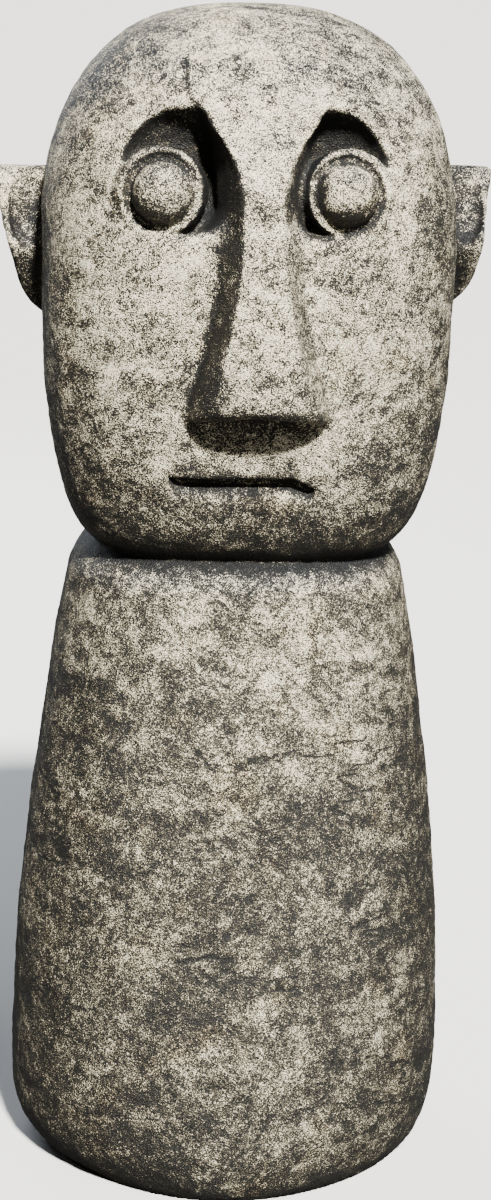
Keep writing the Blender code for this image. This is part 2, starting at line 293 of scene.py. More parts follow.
@dataclass
class Pebble(Turned):
    """Rounded block, whose outline seen along Y grows squarer with `outline` and its faces with `edge`."""

    size: Point
    outline: float = 2.0
    edge: float = 2.0
    margin: float = 0.020

    def box(self) -> tuple[Point, Point]:
        """Corners of a cube that holds the block however it is turned."""
        return self.cube(Vector(self.size).length / 2.0 + self.margin)

    def outside(self, x: Array, y: Array, z: Array, step: float) -> Array:
        """Distances outside the block, from its own rounded-square rule."""
        across, along, up = (
            abs(away) / (length / 2.0) for away, length in zip(self.own(x, y, z), self.size)
        )
        flat = (across**self.outline + up**self.outline) ** (self.edge / self.outline)
        return true_distance((flat + along**self.edge) ** (1.0 / self.edge) - 1.0, step)


@dataclass
class Ring(Turned):
    """Round bead bent into a ring that lies across its own Y axis."""

    diameter: float
    bead: float
    margin: float = 0.015

    def box(self) -> tuple[Point, Point]:
        """Corners of a cube that holds the ring however it is turned."""
        return self.cube((self.diameter + self.bead) / 2.0 + self.margin)

    def outside(self, x: Array, y: Array, z: Array, step: float) -> Array:
        """Distances outside the bead."""
        across, along, up = self.own(x, y, z)
        return np.hypot(np.hypot(across, up) - self.diameter / 2.0, along) - self.bead / 2.0


@dataclass
class Trunk(Form):
    """Armless trunk that widens downwards to a rounded foot."""

    neck_height: float = 0.548
    top_inside_head: float = 0.050
    belly_height: float = 0.096
    belly_width: float = 0.384
    belly_depth: float = 0.358
    neck_width: float = 0.280
    neck_depth: float = 0.256
    taper: float = 1.62
    foot_inset: float = 0.027
    foot_side_shift: float = -0.004
    foot_bulge: float = 2.5
    foot_squareness: float = 1.85
    neck_squareness: float = 2.6
    squareness_curve: float = 1.3
    pinch: float = 0.009
    pinch_height: float = 0.024
    pinch_most: float = 3.0
    worn_corner: float = 0.012
    worn_corner_height: float = 0.050
    margin: float = 0.020

    def box(self) -> tuple[Point, Point]:
        """Corners of the part that the form changes."""
        return (-1.0, -1.0, -1.0), (1.0, 1.0, self.neck_height + self.top_inside_head + self.margin)

    def half(self, z: Array, neck: float, belly: float) -> Array:
        """Half the trunk's width or depth at each height.

        Args:
            z: Heights.
            neck: Full width or depth at the crease.
            belly: Full width or depth at the widest level.

        Returns:
            One half width for each height.
        """
        rise = np.clip((z - self.belly_height) / (self.neck_height - self.belly_height), 0.0, None)
        pinch = np.clip(1.0 - (self.neck_height - z) / self.pinch_height, 0.0, self.pinch_most)
        above = (belly - (belly - neck) * rise**self.taper) / 2.0 - self.pinch * pinch**2
        drop = held((self.belly_height - z) / self.belly_height)
        inset = 1.0 - (1.0 - drop**self.foot_bulge) ** (1.0 / self.foot_bulge)
        below = belly / 2.0 - self.foot_inset * inset
        return np.where(z > self.belly_height, above, below)

    def outside(self, x: Array, y: Array, z: Array, step: float) -> Array:
        """Distances outside a stack of level rounded-square rings."""
        top = self.neck_height + self.top_inside_head
        share = held(z / top) ** (1.0 / self.squareness_curve)
        squareness = blend(self.foot_squareness, self.neck_squareness, share)
        centre = self.foot_side_shift * (1.0 - share) ** 2
        wear = self.worn_corner * held(1.0 - z / self.worn_corner_height) ** 2
        half_width = self.half(z, self.neck_width, self.belly_width) - np.where(x < 0.0, wear, 0.0)
        across = abs(x - centre) / half_width
        along = abs(y) / self.half(z, self.neck_depth, self.belly_depth)
        ring = (across**squareness + along**squareness) ** (1.0 / squareness) - 1.0
        return np.maximum(true_distance(ring, step), z - top)


@dataclass
class Head(Form):
    """Block of the head: a domed crown above the cheek line, a tapering jaw below it."""

    top: float = 1.000
    underside: float = 0.548
    width: float = 0.343
    depth: float = 0.312
    side_shift: float = 0.0055
    forward_shift: float = 0.010
    cheek_line: float = 0.551
    crown_curve: float = 2.56
    jaw_curve: float = 2.16
    jaw_edge_side: float = 7.7
    jaw_edge_front: float = 6.0
    face_squareness: float = 2.8
    crown_squareness: float = 2.3
    margin: float = 0.040

    def box(self) -> tuple[Point, Point]:
        """Corners of the part that the form changes."""
        return (-1.0, -1.0, self.underside - self.margin), (1.0, 1.0, 2.0)

    def height(self, share: float) -> float:
        """Height above the ground of a share of the head's height."""
        return blend(self.underside, self.top, share)

    def level(self, z: Array | float) -> Array | float:
        """How far a height lies from the cheek line: -1 at the jaw's underside, 1 at the crown.

        Args:
            z: Heights.

        Returns:
            One level for each height.
        """
        share = (z - self.underside) / (self.top - self.underside)
        gap = share - self.cheek_line
        return np.where(gap > 0.0, gap / (1.0 - self.cheek_line), gap / self.cheek_line)

    def face(self, x: Array | float, z: Array | float) -> Array:
        """Y of the face's surface.

        Args:
            x: Places across the face.
            z: Heights.

        Returns:
            One Y for each place; beyond the face's sides, that of its side line.
        """
        level = self.level(z)
        curve = np.where(level > 0.0, self.crown_curve, self.jaw_curve)
        edge = np.where(level > 0.0, self.crown_curve, self.jaw_edge_front)
        squareness = self.squareness(level)
        ring = held(1.0 - abs(level) ** curve) ** (1.0 / edge)
        across = abs(x - self.side_shift) / (self.width / 2.0)
        along = held(ring**squareness - across**squareness) ** (1.0 / squareness)
        return -self.forward_shift - self.depth / 2.0 * along

    def squareness(self, level: Array | float) -> Array | float:
        """How square the head's level outline is, from the face up to the crown."""
        return blend(self.face_squareness, self.crown_squareness, held(level))

    def outside(self, x: Array, y: Array, z: Array, step: float) -> Array:
        """Distances outside the crown above the cheek line, and outside the jaw below it."""
        level = self.level(z)
        squareness = self.squareness(level)
        across = abs(x - self.side_shift) / (self.width / 2.0)
        along = (y + self.forward_shift) / (self.depth / 2.0)
        ring = (across**squareness + abs(along) ** squareness) ** (1.0 / squareness)
        facing = held(-along / np.maximum(ring, TINY)) ** 2
        jaw_edge = blend(self.jaw_edge_side, self.jaw_edge_front, facing)
        edge = np.where(level > 0.0, self.crown_curve, jaw_edge)
        curve = np.where(level > 0.0, self.crown_curve, self.jaw_curve)
        return true_distance((ring**edge + abs(level) ** curve) ** (1.0 / edge) - 1.0, step)


@dataclass
class Nose(Form):
    """Long nose with a flat ridge and steep flanks, flaring to a wide round-fronted tip.

    Beside the eyes its flanks run on down to the floors of the sockets. Its underside arches in front and
    drops back to the face.
    """

    head: Head
    tip_line: float = 0.300
    root_line: float = 0.860
    side_shift: float = 0.004
    reach: float = 0.038
    reach_curve: float = 0.58
    root_fade: float = 0.32
    bridge_width: float = 0.068
    tip_width: float = 0.115
    flare_share: float = 0.42
    flare_curve: float = 1.35
    ridge_width: float = 0.033
    tip_ridge_width: float = 0.088
    ridge_flare_share: float = 0.50
    ridge_flare_curve: float = 1.35
    flank_rounding: float = 0.10
    flank_least: float = 0.004
    brow_flare: float = 0.060
    brow_flare_from: float = 0.60
    brow_flare_curve: float = 2.96
    brow_foot_share: float = 0.45
    tip_squareness: float = 2.3
    tip_round_share: float = 0.30
    socket_depth: float = 0.026
    socket_from: float = 0.53
    socket_blend: float = 0.12
    arch: float = 0.007
    underside_slope: float = 0.14
    inside_face: float = 0.050
    edge: float = 0.010
    margin: float = 0.024

    def middle(self) -> float:
        """X of the nose's middle line."""
        return self.head.side_shift + self.side_shift

    def front_of_tip(self) -> float:
        """Y of the foremost point of the tip."""
        height = self.head.height(self.tip_line)
        return float(self.head.face(self.middle(), height)) - self.reach

    def box(self) -> tuple[Point, Point]:
        """Corners of the part that the form changes."""
        wide = self.tip_width / 2.0 + self.margin
        low = (self.middle() - wide, self.front_of_tip() - self.margin,
               self.head.height(self.tip_line) - self.margin)
        return low, (self.middle() + wide, 0.0, self.head.height(self.root_line) + self.margin)

    def brow_spread(self, rise: Array) -> Array:
        """How far the nose spreads to either side where it runs up into the brows."""
        share = held((rise - self.brow_flare_from) / (1.0 - self.brow_flare_from))
        return self.brow_flare * share**self.brow_flare_curve

    def section(self, across: Array, rise: Array, half_foot: Array) -> Array:
        """Share of the nose's reach at places across it: a trapezium above, a half round at the tip.

        Args:
            across: Distances from the middle line.
            rise: Shares of the nose's height, from its tip to its root.
            half_foot: Half the nose's width where it meets the face.

        Returns:
            One share for each place.
        """
        flare = held(1.0 - rise / self.ridge_flare_share) ** self.ridge_flare_curve
        half_ridge = blend(self.ridge_width, self.tip_ridge_width, flare) / 2.0 + self.brow_spread(rise)
        flank = (half_foot - across) / np.maximum(half_foot - half_ridge, self.flank_least)
        flank = held(rounded_min(flank, np.ones_like(flank), self.flank_rounding))
        out = held(across / half_foot)
        half_round = np.sqrt(held(1.0 - out**self.tip_squareness))
        return blend(flank, half_round, smooth(1.0 - rise / self.tip_round_share))

    def outside(self, x: Array, y: Array, z: Array, step: float) -> Array:
        """Distances in front of the nose's surface, and below its tip."""
        tip, root = self.head.height(self.tip_line), self.head.height(self.root_line)
        rise = held((z - tip) / (root - tip))
        flare = held(1.0 - rise / self.flare_share) ** self.flare_curve
        half_foot = blend(self.bridge_width, self.tip_width, flare) / 2.0
        half_foot = half_foot + self.brow_foot_share * self.brow_spread(rise)
        across = abs(x - self.middle())
        section = self.section(across, rise, half_foot)
        raised = self.reach * (1.0 - rise) ** self.reach_curve * section
        raised = raised * smooth((1.0 - rise) / self.root_fade)
        sunk = self.socket_depth * smooth((rise - self.socket_from) / self.socket_blend) * (1.0 - section)
        front = self.head.face(x, z) - raised + sunk
        body = true_distance(np.broadcast_to(front, np.broadcast_shapes(front.shape, y.shape)) - y, step)
        body = np.maximum(body, across - half_foot)
        body = np.maximum(body, y - front - self.inside_face)
        arch = self.arch * (1.0 - held(across / half_foot) ** 2)
        underside = tip + arch - self.underside_slope * (y - self.front_of_tip())
        return rounded_max(body, underside - z, self.edge)


@dataclass
class Eye:
    """Knob eye in a rimmed ring, at the bottom of an arched socket that bites deepest under the brow."""

    head: Head
    side: Side
    line: float = 0.688
    spread: float = 0.209
    side_shift: float = -0.002
    socket_size: Point = (0.106, 0.080, 0.128)
    socket_outline: float = 2.35
    socket_edge: float = 4.0
    socket_floor: float = 0.0235
    socket_toward_nose: float = 0.012
    socket_rise: float = 0.014
    brow_edge: float = 0.005
    pocket_size: Point = (0.094, 0.096, 0.094)
    pocket_outline: float = 2.2
    pocket_edge: float = 3.0
    pocket_floor: float = 0.048
    pocket_toward_nose: float = 0.013
    pocket_rise: float = 0.015
    tilt: float = 29.0
    turn: float = 12.0
    boss_diameter: float = 0.0700
    boss_thickness: float = 0.034
    boss_sink: float = 0.0075
    boss_tilt: float = 8.0
    boss_edge: float = 8.0
    boss_fillet: float = 0.005
    groove_diameter: float = 0.0545
    groove_bead: float = 0.0075
    knob_size: Point = (0.049, 0.050, 0.049)
    knob_edge: float = 2.1
    knob_sink: float = 0.0125
    knob_fillet: float = 0.002

    def place(self, inward: float) -> Vector:
        """Point of the eye's axis that lies this far inside the face."""
        across = self.head.side_shift + self.side_shift + self.side.value * self.spread * self.head.width
        height = self.head.height(self.line)
        return Vector((across, float(self.head.face(self.head.side_shift, height)) + inward, height))

    def facing(self, tilt: float) -> Matrix:
        """Turn outwards with the curve of the face, and back by a tilt in degrees."""
        outward = Matrix.Rotation(math.radians(self.side.value * self.turn), 3, "Z")
        return outward @ Matrix.Rotation(math.radians(-tilt), 3, "X")

    def carve(self, block: ClayBlock) -> None:
        """Cuts the socket, and leaves in it a round boss with a grooved rim and a knob.

        Args:
            block: Block with the head already in it.
        """
        inward = Vector((-self.side.value, 0.0, 0.0))
        place = self.place(self.socket_floor - self.socket_size[1] / 2.0)
        place += inward * self.socket_toward_nose + Vector((0.0, 0.0, self.socket_rise))
        turn = self.facing(self.tilt)
        socket = Pebble(place, turn, self.socket_size, self.socket_outline, self.socket_edge)
        block.cut(socket, self.brow_edge)
        place = self.place(self.pocket_floor - self.pocket_size[1] / 2.0)
        place += inward * self.pocket_toward_nose + Vector((0.0, 0.0, self.pocket_rise))
        turn = Matrix.Identity(3)
        pocket = Pebble(place, turn, self.pocket_size, self.pocket_outline, self.pocket_edge)
        block.cut(pocket, self.brow_edge)
        turn = self.facing(self.boss_tilt)
        size = (self.boss_diameter, self.boss_thickness, self.boss_diameter)
        place = self.place(self.boss_sink + self.boss_thickness / 2.0)
        block.add(Pebble(place, turn, size, edge=self.boss_edge), self.boss_fillet)
        groove = Ring(self.place(self.boss_sink), turn, self.groove_diameter, self.groove_bead)
        block.cut(groove, self.knob_fillet)
        knob = Pebble(self.place(self.knob_sink), turn, self.knob_size, edge=self.knob_edge)
        block.add(knob, self.knob_fillet)


@dataclass
class Mouth(Form):
    """Straight slit under a lip that overhangs, with a lower lip that slopes out of it like a ledge."""

    head: Head
    line: float = 0.188
    side_shift: float = -0.0075
    length: float = 0.118
    ledge_height: float = 0.0175
    ledge_slope: float = 1.05
    depth: float = 0.0105
    droop: float = 0.008
    droop_from: float = 0.64
    bluntness: float = 10.0
    face_only: float = -0.10
    margin: float = 0.012

    def box(self) -> tuple[Point, Point]:
        """Corners of the part that the form changes."""
        middle = self.head.side_shift + self.side_shift
        half = self.length / 2.0 + self.margin
        height = self.head.height(self.line)
        low = (middle - half, -1.0, height - self.ledge_height - self.droop - self.margin)
        return low, (middle + half, self.face_only, height + self.margin)

    def outside(self, x: Array, y: Array, z: Array, step: float) -> Array:
        """Distances outside a wedge: level above, sloping below, and thin towards its corners."""
        along = (x - self.head.side_shift - self.side_shift) / (self.length / 2.0)
        droop = self.droop * smooth((along - self.droop_from) / (1.0 - self.droop_from))
        roof = self.head.height(self.line) - droop
        inward = y - self.head.face(x, z)
        ending = np.sqrt(held(1.0 - abs(along) ** self.bluntness))
        ledge = roof - self.ledge_height * ending + inward * self.ledge_slope
        sloping = (ledge - z) / math.hypot(1.0, self.ledge_slope)
        wedge = np.maximum(np.maximum(z - roof, sloping), inward - self.depth * ending)
        return np.maximum(wedge, (abs(along) - 1.0) * self.length / 2.0)


@dataclass
class Ear(Form):
    """Lug ear: a leaning front above a fold, a receding lobe below it, and a slanting outer edge."""

    head: Head
    side: Side
    top_line: float
    lobe_line: float
    reach: float
    lobe_reach: float
    root_inside: float = 0.030
    fold: float = 0.54
    front_at: Point = (0.018, -0.015, 0.027)
    back_at: Point = (0.034, 0.036, 0.042)
    lobe_share: float = 0.24
    lobe_tuck: float = 0.014
    hollow_size: Point = (0.030, 0.018, 0.074)
    hollow_out: float = 0.012
    hollow_tilt: float = -28.0
    hollow_edge: float = 2.2
    edge: float = 0.006
    widest: float = 0.090
    margin: float = 0.020

    def height(self, rise: float) -> float:
        """Height above the ground of a share of the ear's height."""
        return self.head.height(blend(self.lobe_line, self.top_line, rise))

    def box(self) -> tuple[Point, Point]:
        """Corners of the part that the form changes."""
        root = self.head.width / 2.0 - self.root_inside
        ends = sorted(self.head.side_shift + self.side.value * u for u in (root, root + self.widest))
        low = (ends[0], min(self.front_at) - self.margin, self.height(0.0) - self.margin)
        return low, (ends[1], max(self.back_at) + self.margin, self.height(1.0) + self.margin)

    def station(self, stations: Point, rise: Array) -> Array:
        """Y of the ear's front or back.

        Args:
            stations: Y at the lobe, at the fold and at the top.
            rise: Shares of the ear's height.

        Returns:
            One Y for each share.
        """
        lobe, fold, top = stations
        below = blend(lobe, fold, smooth(rise / self.fold))
        above = blend(fold, top, held((rise - self.fold) / (1.0 - self.fold)))
        return np.where(rise < self.fold, below, above)

    def outside(self, x: Array, y: Array, z: Array, step: float) -> Array:
        """Distances outside the ear's outer edge, front, back, top and rounded lobe."""
        rise = (z - self.height(0.0)) / (self.height(1.0) - self.height(0.0))
        out = (x - self.head.side_shift) * self.side.value - self.head.width / 2.0
        lobe = np.sqrt(held(1.0 - (1.0 - held(rise / self.lobe_share)) ** 2))
        reach = blend(self.lobe_reach, self.reach, held(rise)) + self.lobe_tuck
        outer = out - reach * lobe + self.lobe_tuck
        front = self.station(self.front_at, held(rise)) - y
        back = y - self.station(self.back_at, held(rise))
        body = rounded_max(rounded_max(outer, front, self.edge), back, self.edge)
        body = rounded_max(body, z - self.height(1.0), self.edge)
        body = np.maximum(body, self.height(0.0) - z)
        return true_distance(np.maximum(body, -out - self.root_inside), step)

    def hollow(self) -> Pebble:
        """Scoop in the leaning front of the ear, beside the cheek.

        Returns:
            The form to cut away.
        """
        rise = (1.0 + self.fold) / 2.0
        across = self.head.side_shift + self.side.value * (self.head.width / 2.0 + self.hollow_out)
        place = Vector((across, float(self.station(self.front_at, rise)), self.height(rise)))
        turn = Matrix.Rotation(math.radians(self.hollow_tilt), 3, "X")
        return Pebble(place, turn, self.hollow_size, self.hollow_edge, self.hollow_edge)


class Fade(NamedTuple):
    """Smooth change of a result, as a value goes from `low` to `high`."""

    low: float
    high: float
    at_low: float = 0.0
    at_high: float = 1.0


@dataclass
class NodeBench:
    """Short ways to put nodes in a tree and wire them."""

    tree: bpy.types.NodeTree

    def node(self, kind: str, **settings: object) -> bpy.types.Node:
        """New node of a type, with some of its properties set.

        Args:
            kind: Blender's name for the type.
            **settings: Properties of the node to set.

        Returns:
            The node.
        """
        made = self.tree.nodes.new(kind)
        for name, value in settings.items():
            setattr(made, name, value)
        return made

    def put(self, socket: Socket, value: object) -> None:
        """Wires another socket into an input, or sets the input to a plain value.

        Args:
            socket: Input that gets the value.
            value: Socket to wire in, or plain value to set.
        """
        if isinstance(value, Socket):
            self.tree.links.new(value, socket)
        else:
            socket.default_value = value

    def feed(self, node: bpy.types.Node, **values: object) -> None:
        """Wires or sets inputs of a node, by their names with underscores for spaces."""
        for name, value in values.items():
            self.put(node.inputs[name.replace("_", " ")], value)

    def math(self, operation: str, *values: object, clamp: bool = False) -> Socket:
        """Result of a Math node.

        Args:
            operation: Blender's name for the sum.
            *values: Sockets or numbers, in the node's order.
            clamp: Whether the result is held between 0 and 1.

        Returns:
            The output socket.
        """
        made = self.node("ShaderNodeMath", operation=operation, use_clamp=clamp)
        for socket, value in zip(made.inputs, values):
            self.put(socket, value)
        return made.outputs[0]

    def add(self, *values: object) -> Socket:
        """Sum of sockets or numbers."""
        return reduce(lambda total, value: self.math("ADD", total, value), values)

    def times(self, *values: object) -> Socket:
        """Product of sockets or numbers."""
        return reduce(lambda total, value: self.math("MULTIPLY", total, value), values)

    def unsigned(self, value: object) -> Socket:
        """Value without its sign."""
        return self.math("ABSOLUTE", value)

    def less(self, first: object, second: object) -> Socket:
        """First value less the second."""
        return self.math("SUBTRACT", first, second)

    def separate(self, vector: Socket) -> bpy.types.bpy_prop_collection:
        """X, Y and Z of a vector, as the outputs of a Separate XYZ node."""
        made = self.node("ShaderNodeSeparateXYZ")
        self.tree.links.new(vector, made.inputs[0])
        return made.outputs

    def drawn_out(self, place: Socket, stretch: Point, slant: float = 0.0) -> Socket:
        """Coordinates that draw a pattern out.

        Args:
            place: Plain coordinates.
            stretch: How many times longer the pattern gets along X, Y and Z.
            slant: Degrees that the pattern then leans about Y.

        Returns:
            The coordinates to read the pattern at.
        """
        made = self.node("ShaderNodeMapping", vector_type="TEXTURE")
        self.feed(made, Vector=place, Rotation=(0.0, math.radians(slant), 0.0), Scale=stretch)
        return made.outputs[0]

    def ramp(self, value: Socket, fade: "Fade") -> Socket:
        """Value carried smoothly along a fade.

        Args:
            value: Value to carry.
            fade: Where the fade starts and ends, and what it gives there.

        Returns:
            The carried value, held at both ends.
        """
        made = self.node("ShaderNodeMapRange", interpolation_type="SMOOTHSTEP", clamp=True)
        for socket, number in zip(made.inputs, (value, *fade)):
            self.put(socket, number)
        return made.outputs[0]

    def graded(self, value: Socket, stops: Iterable[tuple[float, Colour]]) -> Socket:
        """Colour read from a row of colours.

        Args:
            value: Where along the row to read, from 0 to 1.
            stops: Places along the row, each with its colour.

        Returns:
            The colour's output socket.
        """
        made = self.node("ShaderNodeValToRGB")
        self.tree.links.new(value, made.inputs[0])
        elements, stops = made.color_ramp.elements, list(stops)
        while len(elements) < len(stops):
            elements.new(0.5)
        for element, (position, colour) in zip(elements, stops):
            element.position = position
            element.color = colour
        return made.outputs[0]

    def mix(self, share: object, first: object, second: object,
            blend_type: str = "MIX") -> Socket:
        """Colour between two colours.

        Args:
            share: How much of the second colour there is.
            first: First colour.
            second: Second colour.
            blend_type: Blender's name for the way they mix.

        Returns:
            The mixed colour.
        """
        made = self.node("ShaderNodeMix", data_type="RGBA", blend_type=blend_type, clamp_factor=True)
        for socket, value in zip((made.inputs[0], made.inputs[6], made.inputs[7]), (share, first, second)):
            self.put(socket, value)
        return made.outputs[2]


@dataclass
class HandFinish:
    """Node tree that gives the casting its hand-made surface: slow lumps, trowel dents and chips."""

    lump_size: float = 0.085
    lump_height: float = 0.0030
    dent_size: float = 0.022
    dent_depth: float = 0.0014
    chip_size: float = 0.0075
    chip_depth: float = 0.0008
    level_foot: float = 0.006
    level_crown: Fade = Fade(0.985, 1.000, 1.0, 0.0)
    roughness: float = 0.55
    seed: float = 3.0

    def sizes(self) -> dict[str, float]:
        """Sizes of the unevenness, by the names of the tree's inputs."""
        return {
            "Lump Size": self.lump_size, "Lump Height": self.lump_height,
            "Dent Size": self.dent_size, "Dent Depth": self.dent_depth,
            "Chip Size": self.chip_size, "Chip Depth": self.chip_depth,
            "Level Foot": self.level_foot, "Seed": self.seed,
        }

    def tree(self) -> bpy.types.GeometryNodeTree:
        """Builds the node tree, with an input for each size.

        Returns:
            The tree.
        """
        made = bpy.data.node_groups.new("Hand finish", "GeometryNodeTree")
        made.interface.new_socket("Geometry", in_out="INPUT", socket_type="NodeSocketGeometry")
        for name in self.sizes():
            made.interface.new_socket(name, in_out="INPUT", socket_type="NodeSocketFloat")
        made.interface.new_socket("Material", in_out="INPUT", socket_type="NodeSocketMaterial")
        made.interface.new_socket("Geometry", in_out="OUTPUT", socket_type="NodeSocketGeometry")
        bench = NodeBench(made)
        given = bench.node("NodeGroupInput").outputs
        place = bench.node("GeometryNodeInputPosition").outputs[0]
        normal = bench.node("GeometryNodeInputNormal").outputs[0]

        def layer(size: str, height: str, detail: float) -> Socket:
            """Offset of one layer of unevenness, about its own middle level.

            Args:
                size: Input that holds the layer's size.
                height: Input that holds how far it stands out.
                detail: How many finer layers lie on it.

            Returns:
                The offset's socket.
            """
            cloud = bench.node("ShaderNodeTexNoise", noise_dimensions="4D")
            bench.feed(cloud, Vector=place, W=given["Seed"], Detail=detail, Roughness=self.roughness,
                       Scale=bench.math("DIVIDE", 1.0, given[size]))
            centred = bench.less(cloud.outputs["Fac"], 0.5)
            return bench.times(centred, 2.0, given[height])

        lumps = layer("Lump Size", "Lump Height", 1.0)
        dents = layer("Dent Size", "Dent Depth", 2.0)
        chips = layer("Chip Size", "Chip Depth", 1.0)
        height = bench.separate(place)[2]
        standing = bench.math("DIVIDE", height, given["Level Foot"], clamp=True)
        crown = bench.ramp(height, self.level_crown)
        offset = bench.times(bench.add(lumps, dents, chips), standing, crown)
        push = bench.node("ShaderNodeVectorMath", operation="SCALE")
        made.links.new(normal, push.inputs[0])
        made.links.new(offset, push.inputs["Scale"])
        moved = bench.node("GeometryNodeSetPosition")
        made.links.new(given["Geometry"], moved.inputs["Geometry"])
        made.links.new(push.outputs[0], moved.inputs["Offset"])
        plain = bench.node("GeometryNodeRealizeInstances")
        made.links.new(moved.outputs[0], plain.inputs[0])
        dressed = bench.node("GeometryNodeSetMaterial")
        made.links.new(plain.outputs[0], dressed.inputs["Geometry"])
        made.links.new(given["Material"], dressed.inputs["Material"])
        made.links.new(dressed.outputs[0], bench.node("NodeGroupOutput").inputs[0])
        return made

    def put_on(self, figure: bpy.types.Object, material: bpy.types.Material) -> None:
        """Adds the tree to an object, with this finish's own sizes.

        Args:
            figure: Object that gets the tree.
            material: Material that the tree sets.
        """
        step = figure.modifiers.new("hand finish", "NODES")
        tree = self.tree()
        values = {**self.sizes(), "Material": material}
        step.node_group = tree
        for item in tree.interface.items_tree:
            if item.in_out == "INPUT" and item.name in values:
                step[item.identifier] = values[item.name]


def srgb(red: int, green: int, blue: int) -> Colour:
    """Colour as a screen shows it, turned into the linear numbers that shaders take.

    Args:
        red: Red from 0 to 255.
        green: Green from 0 to 255.
        blue: Blue from 0 to 255.

    Returns:
        Red, green, blue and full alpha.
    """
    shares = [part / 255.0 for part in (red, green, blue)]
    linear = [part / 12.92 if part <= 0.04045 else ((part + 0.055) / 1.055) ** 2.4 for part in shares]
    return (*linear, 1.0)


@dataclass(frozen=True)
class Cloud:
    """Noise of one grain: its lumps in a metre, its strength, and how the lumps break up."""

    scale: float
    weight: float = 1.0
    detail: float = 1.0
    roughness: float = 0.5
    distortion: float = 0.0

    def plain(self, bench: NodeBench, place: Socket) -> Socket:
        """The cloud as it is, between 0 and 1.

        Args:
            bench: Bench that the noise is put on.
            place: Coordinates that it is read at.

        Returns:
            The noise's socket.
        """
        made = bench.node("ShaderNodeTexNoise")
        bench.feed(made, Vector=place, Scale=self.scale, Detail=self.detail, Roughness=self.roughness,
                   Distortion=self.distortion)
        return made.outputs["Fac"]

    def swing(self, bench: NodeBench, place: Socket) -> Socket:
        """The cloud's swing about its middle, at its strength."""
        return bench.times(bench.less(self.plain(bench, place), 0.5), self.weight)


@dataclass
class Surface(NodeBench):
    """Node bench of a finish, with what it reads at each point: place, facing, how shut in it is."""

    place: Socket = field(init=False)
    across: Socket = field(init=False)
    height: Socket = field(init=False)
    facing_x: Socket = field(init=False)
    facing_z: Socket = field(init=False)
    crevice: Socket = field(init=False)

    def __post_init__(self) -> None:
        """Puts the nodes in."""
        self.place = self.node("ShaderNodeTexCoord").outputs["Object"]
        self.across, _, self.height = self.separate(self.place)
        normal = self.node("ShaderNodeNewGeometry").outputs["Normal"]
        self.facing_x, _, self.facing_z = self.separate(normal)
        self.crevice = self.node("ShaderNodeAttribute", attribute_name="crevice").outputs["Fac"]

    def field_of(self, cloud: Cloud, fade: Fade) -> Socket:
        """Scattered fields where a cloud is dense."""
        return self.ramp(cloud.plain(self, self.place), fade)


